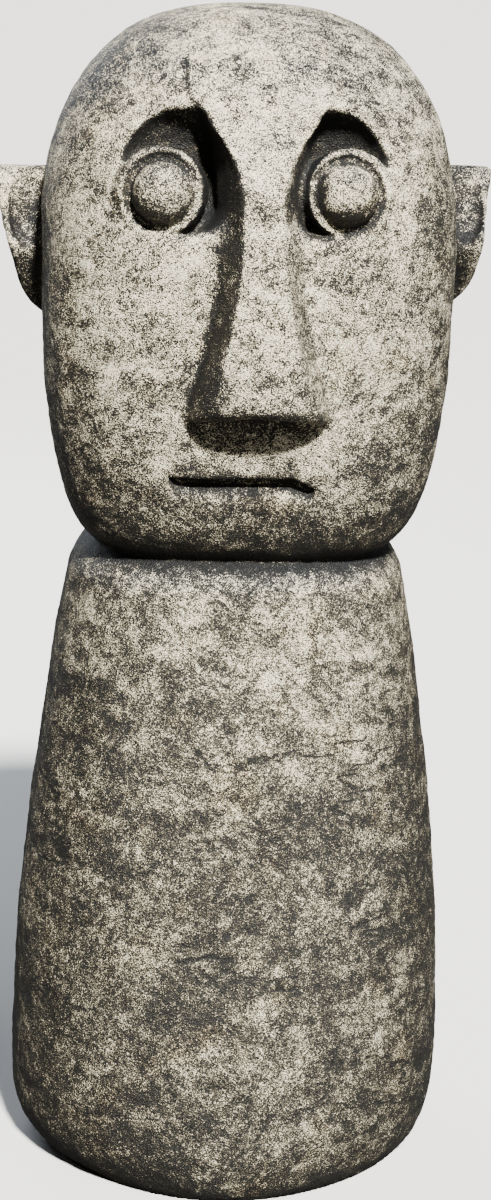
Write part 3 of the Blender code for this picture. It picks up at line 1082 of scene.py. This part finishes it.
@dataclass(frozen=True)
class BrushedStone:
    """Dark stained cement with a cream wash dragged over its high spots.

    A tone runs from 0, bare stain, to 1, thick wash. Each weight says how far one cause moves it; several
    causes are painted shade and highlight set by how the surface faces or how shut in it is, and a painted
    sky reflection tints upward faces.
    """

    name: str = "weathered_stone"
    tones: tuple[tuple[float, Colour], ...] = (
        (0.00, srgb(24, 24, 22)),
        (0.28, srgb(56, 53, 44)),
        (0.52, srgb(106, 99, 81)),
        (0.78, srgb(170, 161, 136)),
        (1.00, srgb(245, 236, 208)),
    )
    # Base tone at each height: darker towards the bottom, with a dip about the chin.
    tone_by_height: tuple[Span, ...] = (
        (0.00, 0.15),
        (0.15, 0.18),
        (0.35, 0.27),
        (0.50, 0.42),
        (0.60, 0.37),
        (0.66, 0.43),
        (0.76, 0.56),
        (1.00, 0.50),
    )
    patches: Cloud = Cloud(11.0, 1.05, 2.0, 0.5, 0.6)
    blotches: Cloud = Cloud(48.0, 1.20, 2.0, 0.6, 0.6)
    smears: Cloud = Cloud(62.0, 1.05, 2.0, 0.6, 1.0)
    smear_stretch: Point = (2.6, 2.6, 1.0)
    specks: Cloud = Cloud(120.0, 0.75, 1.0, 0.6, 0.8)
    grit: Cloud = Cloud(520.0, 1.25, 1.0, 0.6, 0.3)
    strokes: Cloud = Cloud(250.0, 0.95, 1.0, 0.6, 0.5)
    stroke_stretch: Point = (1.0, 1.0, 3.6)
    stroke_slants: Span = (38.0, -52.0)
    stroke_fields: Cloud = Cloud(16.0)
    stroke_field_edge: Fade = Fade(0.46, 0.54)
    dust: Cloud = Cloud(1150.0, 2.7, 0.0)
    head_gain: Fade = Fade(0.45, 0.80, 1.0, 1.35)
    # Hollows get darker by how shut in they are: painted shade in the sockets, under the nose and jaw and in
    # grooves, partly also dirt that gathers there. The mottling is calmed there so the dark reads even.
    crevice_calm: Fade = Fade(0.20, 0.40, 1.0, 0.60)
    crevice_dirt_and_shade: Fade = Fade(0.03, 0.30, 0.0, 0.64)
    # Painted shade: darker where the surface faces down, under the chin, the jaw and the nose.
    underside_shade: Fade = Fade(-0.75, 0.0, 0.55, 0.0)
    # Painted shade: darker where the surface turns to either side, most on the minus X side, away from the
    # key light.
    minus_side_shade: Fade = Fade(-0.90, -0.15, 0.33, 0.0)
    plus_side_shade: Fade = Fade(0.40, 0.95, 0.0, 0.27)
    # Painted shade on the nose's flank that faces minus X, away from the key light, and a painted highlight
    # along its front-facing ridge.
    nose_edge: Fade = Fade(0.050, 0.062, 1.0, 0.0)
    nose_foot: Fade = Fade(0.66, 0.72)
    flank_shade: Fade = Fade(-0.62, -0.22, 0.60, 0.0)
    ridge_highlight: Fade = Fade(0.15, 0.45, 0.16, 0.0)
    ridge_foot: Fade = Fade(0.70, 0.76)
    # Painted shade on the lower, minus X side of each eye's knob and groove, where the knob's own shadow
    # falls.
    eye_across: float = 0.0905
    eye_height: float = 0.840
    eye_edge: Fade = Fade(0.0245, 0.0275, 1.0, 0.0)
    eye_facing: Span = (0.5, 0.85)
    eye_shade: Fade = Fade(-0.42, -0.04, 0.50, 0.0)
    cracks: Cloud = Cloud(8.0, 0.50, 5.0, 0.6)
    crack_stretch: Point = (2.4, 2.4, 1.0)
    crack_width: Fade = Fade(0.003, 0.012, 1.0, 0.0)
    crack_fields: Cloud = Cloud(9.0)
    crack_field_edge: Fade = Fade(0.52, 0.60)
    crack_height: Fade = Fade(0.35, 0.60, 1.0, 0.25)
    pinhole_scale: float = 95.0
    pinhole_edge: Fade = Fade(0.08, 0.17, 1.0, 0.0)
    pinhole_weight: float = 0.5
    pinhole_fields: Cloud = Cloud(30.0, detail=2.0)
    pinhole_field_edge: Fade = Fade(0.52, 0.62)
    # Painted sky reflection: a blue-grey tint on surfaces that face up, in patches.
    sky_reflection_tint: Colour = srgb(130, 143, 168)
    sky_reflection_facing: Fade = Fade(0.10, 0.70)
    sky_reflection_fields: Cloud = Cloud(14.0, detail=3.0)
    sky_reflection_field_edge: Fade = Fade(0.3, 0.7, 0.5, 0.95)
    earth_tint: Colour = srgb(168, 140, 112)
    earth_fields: Cloud = Cloud(23.0, detail=4.0)
    earth_field_edge: Fade = Fade(0.54, 0.72, 0.0, 0.35)
    roughness: Fade = Fade(0.0, 1.0, 0.58, 0.82)
    shine: float = 0.35
    relief: float = 0.0011
    relief_strength: float = 0.6

    def unevenness(self, at: Surface) -> tuple[Socket, Socket]:
        """Unevenness of the wash.

        Args:
            at: Surface that the finish lies on.

        Returns:
            The broad unevenness, and the fine one with its crossed brush strokes.
        """
        level = at.drawn_out(at.place, self.smear_stretch)
        broad = at.add(*(cloud.swing(at, at.place) for cloud in (self.patches, self.blotches)),
                       self.smears.swing(at, level))
        first, second = (
            self.strokes.plain(at, at.drawn_out(at.place, self.stroke_stretch, slant))
            for slant in self.stroke_slants
        )
        turned = at.field_of(self.stroke_fields, self.stroke_field_edge)
        stroke = at.add(at.times(first, turned), at.times(second, at.less(1.0, turned)))
        fine = at.add(*(cloud.swing(at, at.place) for cloud in (self.specks, self.grit)),
                      at.times(at.less(stroke, 0.5), self.strokes.weight), self.dust.swing(at, at.place))
        return broad, fine

    def on_nose(self, at: Surface) -> Socket:
        """Painted shade and painted highlight on the nose.

        Args:
            at: Surface that the finish lies on.

        Returns:
            Painted shade on its flank on the minus X side, less a painted highlight along its front-facing
            ridge.
        """
        near = at.times(at.ramp(at.unsigned(at.across), self.nose_edge), at.ramp(at.height, self.nose_foot))
        flank = at.times(near, at.ramp(at.facing_x, self.flank_shade))
        ridge = at.ramp(at.unsigned(at.facing_x), self.ridge_highlight)
        return at.less(flank, at.times(ridge, near, at.ramp(at.height, self.ridge_foot)))

    def on_eyes(self, at: Surface) -> Socket:
        """Painted shade on the eyes.

        Args:
            at: Surface that the finish lies on.

        Returns:
            Painted shade where each eye faces down and to the minus X side.
        """
        aside = at.less(at.unsigned(at.across), self.eye_across)
        above = at.less(at.height, self.eye_height)
        away = at.math("SQRT", at.add(at.times(aside, aside), at.times(above, above)))
        facing = at.add(at.times(at.facing_x, self.eye_facing[0]), at.times(at.facing_z, self.eye_facing[1]))
        return at.times(at.ramp(facing, self.eye_shade), at.ramp(away, self.eye_edge))

    def shade_and_stains(self, at: Surface) -> Socket:
        """How far the tone is pulled down: painted shade in hollows, which there also stands for dirt, on
        the sides and undersides, on the nose's flank and on the eyes, less a painted highlight on the nose's
        ridge.

        Args:
            at: Surface that the finish lies on.

        Returns:
            The sum of the painted shade and stain.
        """
        return at.add(
            at.ramp(at.crevice, self.crevice_dirt_and_shade),
            at.ramp(at.facing_x, self.minus_side_shade),
            at.ramp(at.facing_x, self.plus_side_shade),
            at.ramp(at.facing_z, self.underside_shade),
            self.on_nose(at),
            self.on_eyes(at),
        )

    def hairlines(self, at: Surface) -> Socket:
        """Wavy, nearly level hairline cracks, mostly low on the trunk.

        Args:
            at: Surface that the finish lies on.

        Returns:
            A mask, 1 in the middle of a crack.
        """
        contour = at.less(self.cracks.plain(at, at.drawn_out(at.place, self.crack_stretch)), 0.5)
        return at.times(at.ramp(at.unsigned(contour), self.crack_width),
                        at.field_of(self.crack_fields, self.crack_field_edge),
                        at.ramp(at.height, self.crack_height))

    def pinholes(self, at: Surface) -> Socket:
        """Round casting pinholes, in fields.

        Args:
            at: Surface that the finish lies on.

        Returns:
            A mask, 1 in the middle of a hole.
        """
        holes = at.node("ShaderNodeTexVoronoi", feature="F1")
        at.feed(holes, Vector=at.place, Scale=self.pinhole_scale, Randomness=1.0)
        return at.times(at.ramp(holes.outputs["Distance"], self.pinhole_edge),
                        at.field_of(self.pinhole_fields, self.pinhole_field_edge))

    def colour(self, at: Surface, tone: Socket) -> Socket:
        """Colour of the finish.

        Args:
            at: Surface that the finish lies on.
            tone: Tone at each point.

        Returns:
            The tone's colour, bluer where the surface faces up, a painted sky reflection, and browner in
            patches.
        """
        sky_reflection = at.times(at.ramp(at.facing_z, self.sky_reflection_facing),
                        at.field_of(self.sky_reflection_fields, self.sky_reflection_field_edge))
        colour = at.mix(sky_reflection, at.graded(tone, self.tones), self.sky_reflection_tint, "OVERLAY")
        warm = at.field_of(self.earth_fields, self.earth_field_edge)
        return at.mix(warm, colour, self.earth_tint, "SOFT_LIGHT")

    def build(self) -> bpy.types.Material:
        """Builds the material.

        Returns:
            The material.
        """
        made = bpy.data.materials.new(self.name)
        made.use_nodes = True
        made.node_tree.nodes.clear()
        at = Surface(made.node_tree)
        broad, fine = self.unevenness(at)
        crack, pin = self.hairlines(at), self.pinholes(at)
        gain, calm = at.ramp(at.height, self.head_gain), at.ramp(at.crevice, self.crevice_calm)
        swings = at.times(at.add(broad, fine), gain, calm)
        # Base tone by height, darker towards the bottom.
        greys = ((place, (grey, grey, grey, 1.0)) for place, grey in self.tone_by_height)
        wash = at.graded(at.height, greys)
        flaws = at.add(at.times(crack, self.cracks.weight), at.times(pin, self.pinhole_weight))
        # Tone: base by height plus mottling, less painted shade and stain, less cracks and pinholes.
        tone = at.less(at.less(at.add(swings, wash), self.shade_and_stains(at)), flaws)
        bump = at.node("ShaderNodeBump")
        at.feed(bump, Height=at.less(at.add(fine, broad), at.add(pin, crack)),
                Strength=self.relief_strength, Distance=self.relief)
        shader = at.node("ShaderNodeBsdfPrincipled")
        at.feed(shader, Base_Color=self.colour(at, tone), Roughness=at.ramp(tone, self.roughness),
                Normal=bump.outputs[0], Specular_IOR_Level=self.shine)
        made.node_tree.links.new(shader.outputs[0], at.node("ShaderNodeOutputMaterial").inputs[0])
        return made


@dataclass
class StoneFigure:
    """The whole figure, modelled in one block and skinned as one piece."""

    low: Point = (-0.2304, -0.2304, -0.0096)
    high: Point = (0.2352, 0.2016, 1.0200)
    step: float = 0.0024
    most_triangles: int = 194000
    neck_fillet: float = 0.004
    nose_fillet: float = 0.006
    mouth_fillet: float = 0.002
    ear_fillet: float = 0.003
    ear_hollow_fillet: float = 0.005
    block: ClayBlock = field(init=False)

    def model(self) -> None:
        """Adds and carves every form in the block."""
        self.block = ClayBlock(self.low, self.high, self.step)
        head = Head()
        self.block.add(Trunk(), self.neck_fillet)
        self.block.add(head, self.neck_fillet)
        for side in Side:
            Eye(head, side).carve(self.block)
        self.block.add(Nose(head), self.nose_fillet)
        self.block.cut(Mouth(head), self.mouth_fillet)
        ears = (
            Ear(head, Side.MINUS_X, top_line=0.695, lobe_line=0.416, reach=0.044, lobe_reach=0.013),
            Ear(head, Side.PLUS_X, top_line=0.706, lobe_line=0.438, reach=0.038, lobe_reach=0.017),
        )
        for ear in ears:
            self.block.add(ear, self.ear_fillet)
            self.block.cut(ear.hollow(), self.ear_hollow_fillet)
        self.block.cut_flat_below(0.0)

    def plain_mesh(self) -> bpy.types.Object:
        """Skin of the block as an object.

        Returns:
            The object, with its foot level.
        """
        points, faces = self.block.skin()
        points[points[:, 2] < self.step, 2] = 0.0
        mesh = bpy.data.meshes.new("stone_figure_skin")
        mesh.from_pydata(points.tolist(), [], faces.tolist())
        mesh.validate()
        return in_scene("stone_figure_skin", mesh)

    def settled(self, source: bpy.types.Object, name: str) -> bpy.types.Object:
        """Result of an object's modifiers as a plain object.

        Args:
            source: Object with modifiers, which is removed.
            name: Name of the plain object and its mesh.

        Returns:
            The plain object.
        """
        graph = bpy.context.evaluated_depsgraph_get()
        mesh = bpy.data.meshes.new_from_object(source.evaluated_get(graph), depsgraph=graph)
        bpy.data.objects.remove(source)
        mesh.name = name
        return in_scene(name, mesh)

    def mark_crevices(self, figure: bpy.types.Object) -> None:
        """Stores how shut in each point of the surface is.

        Args:
            figure: Object whose mesh gets the attribute.
        """
        mesh = figure.data
        points = np.empty(len(mesh.vertices) * 3)
        normals = np.empty(len(mesh.vertices) * 3)
        mesh.vertices.foreach_get("co", points)
        mesh.vertices.foreach_get("normal", normals)
        points, normals = points.reshape(-1, 3), normals.reshape(-1, 3)
        closed = self.block.shut_in(points, normals, Probes())
        layer = mesh.attributes.new("crevice", "FLOAT", "POINT")
        layer.data.foreach_set("value", closed.astype(np.float32))

    def build(self) -> bpy.types.Object:
        """Makes the finished piece.

        Returns:
            The figure.
        """
        self.model()
        LOG.info("modelled a block of %s points", "x".join(map(str, self.block.values.shape)))
        rough = self.plain_mesh()
        LOG.info("skinned: %d faces", len(rough.data.polygons))
        HandFinish().put_on(rough, BrushedStone().build())
        worked = self.settled(rough, "worked_skin")
        thin = worked.modifiers.new("thin out", "DECIMATE")
        thin.ratio = self.most_triangles / (2.0 * len(worked.data.polygons))
        figure = self.settled(worked, "stone_figure_surface")
        self.mark_crevices(figure)
        figure.data.shade_smooth()
        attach(figure, "root")
        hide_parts("stone_figure")
        LOG.info("figure: %d faces", len(figure.data.polygons))
        return figure


@dataclass
class Studio:
    """Plain pale floor, soft lights, and a camera at the photograph's viewing angle."""

    floor_radius: float = 90.0
    floor_colour: Colour = (0.88, 0.88, 0.87, 1.0)
    floor_bounce: Colour = (0.045, 0.045, 0.042, 1.0)
    floor_roughness: float = 0.9
    floor_sides: int = 96
    camera_distance: float = 2.15
    camera_height: float = 1.06
    camera_azimuth: float = -3.0
    camera_pitch: float = 14.78
    camera_roll: float = 1.16
    camera_side: float = 0.0105
    lens: float = 76.56
    sensor: float = 36.0
    sun_elevation: float = 44.0
    sun_azimuth: float = 13.0
    sun_strength: float = 14.5
    sun_softness: float = 5.0
    sky_strength: float = 0.035
    sky_colour: Colour = (0.92, 0.95, 1.0, 1.0)
    sun_colour: tuple[float, float, float] = (1.0, 0.97, 0.92)
    softbox_place: Point = (2.0, -0.9, 2.6)
    softbox_power: float = 24.0
    back_place: Point = (-1.2, 2.4, 1.9)
    back_power: float = 55.0
    softbox_width: float = 2.4
    softbox_aim: Point = (0.0, 0.0, 0.5)
    softbox_colour: tuple[float, float, float] = (0.86, 0.92, 1.0)

    def floor(self) -> None:
        """Lays the floor."""
        bpy.ops.mesh.primitive_circle_add(
            vertices=self.floor_sides, radius=self.floor_radius, fill_type="NGON"
        )
        floor = bpy.context.active_object
        floor.name = "studio_floor"
        material = bpy.data.materials.new("pale_floor")
        material.use_nodes = True
        bench = NodeBench(material.node_tree)
        seen = bench.node("ShaderNodeLightPath").outputs["Is Camera Ray"]
        shader = material.node_tree.nodes["Principled BSDF"]
        colour = bench.mix(seen, self.floor_bounce, self.floor_colour)
        bench.feed(shader, Base_Color=colour, Roughness=self.floor_roughness)
        floor.data.materials.append(material)

    def lights(self) -> None:
        """Hangs the key light and the two softboxes, and sets the surrounding light."""
        sun = bpy.data.lights.new("key", "SUN")
        sun.energy = self.sun_strength
        sun.angle = math.radians(self.sun_softness)
        sun.color = self.sun_colour
        lamp = in_scene("key", sun)
        up, round_ = math.radians(self.sun_elevation), math.radians(self.sun_azimuth)
        toward = Vector((math.sin(round_) * math.cos(up), -math.cos(round_) * math.cos(up), math.sin(up)))
        lamp.rotation_euler = toward.to_track_quat("Z", "Y").to_euler()
        self.softbox("softbox", self.softbox_place, self.softbox_power)
        self.softbox("back_softbox", self.back_place, self.back_power)
        world = bpy.data.worlds.new("soft surround")
        bpy.context.scene.world = world
        world.use_nodes = True
        sky = world.node_tree.nodes["Background"]
        sky.inputs["Color"].default_value = self.sky_colour
        sky.inputs["Strength"].default_value = self.sky_strength

    def softbox(self, name: str, place: Point, power: float) -> None:
        """Hangs one round softbox that faces the figure.

        Args:
            name: Name of the light.
            place: Where it hangs.
            power: Its power in watts.
        """
        box = bpy.data.lights.new(name, "AREA")
        box.shape = "DISK"
        box.size = self.softbox_width
        box.energy = power
        box.color = self.softbox_colour
        hung = in_scene(name, box)
        hung.location = place
        hung.rotation_euler = (Vector(place) - Vector(self.softbox_aim)).to_track_quat("Z", "Y").to_euler()

    def camera(self) -> None:
        """Sets up the camera."""
        lens = bpy.data.cameras.new("camera")
        lens.lens = self.lens
        lens.sensor_width = self.sensor
        camera = in_scene("camera", lens)
        azimuth = math.radians(self.camera_azimuth)
        place = Vector((math.sin(azimuth) * self.camera_distance + self.camera_side,
                        -math.cos(azimuth) * self.camera_distance, self.camera_height))
        camera.matrix_world = (
            Matrix.Translation(place)
            @ Matrix.Rotation(azimuth, 4, "Z")
            @ Matrix.Rotation(math.pi / 2.0 - math.radians(self.camera_pitch), 4, "X")
            @ Matrix.Rotation(math.radians(self.camera_roll), 4, "Z")
        )
        bpy.context.scene.camera = camera

    def build(self) -> None:
        """Makes the floor, the lights and the camera."""
        self.floor()
        self.lights()
        self.camera()


def main() -> None:
    """Builds the figure and its studio."""
    logging.basicConfig(level=logging.INFO, format="%(name)s: %(message)s")
    StoneFigure().build()
    Studio().build()


if __name__ == "__main__":
    main()
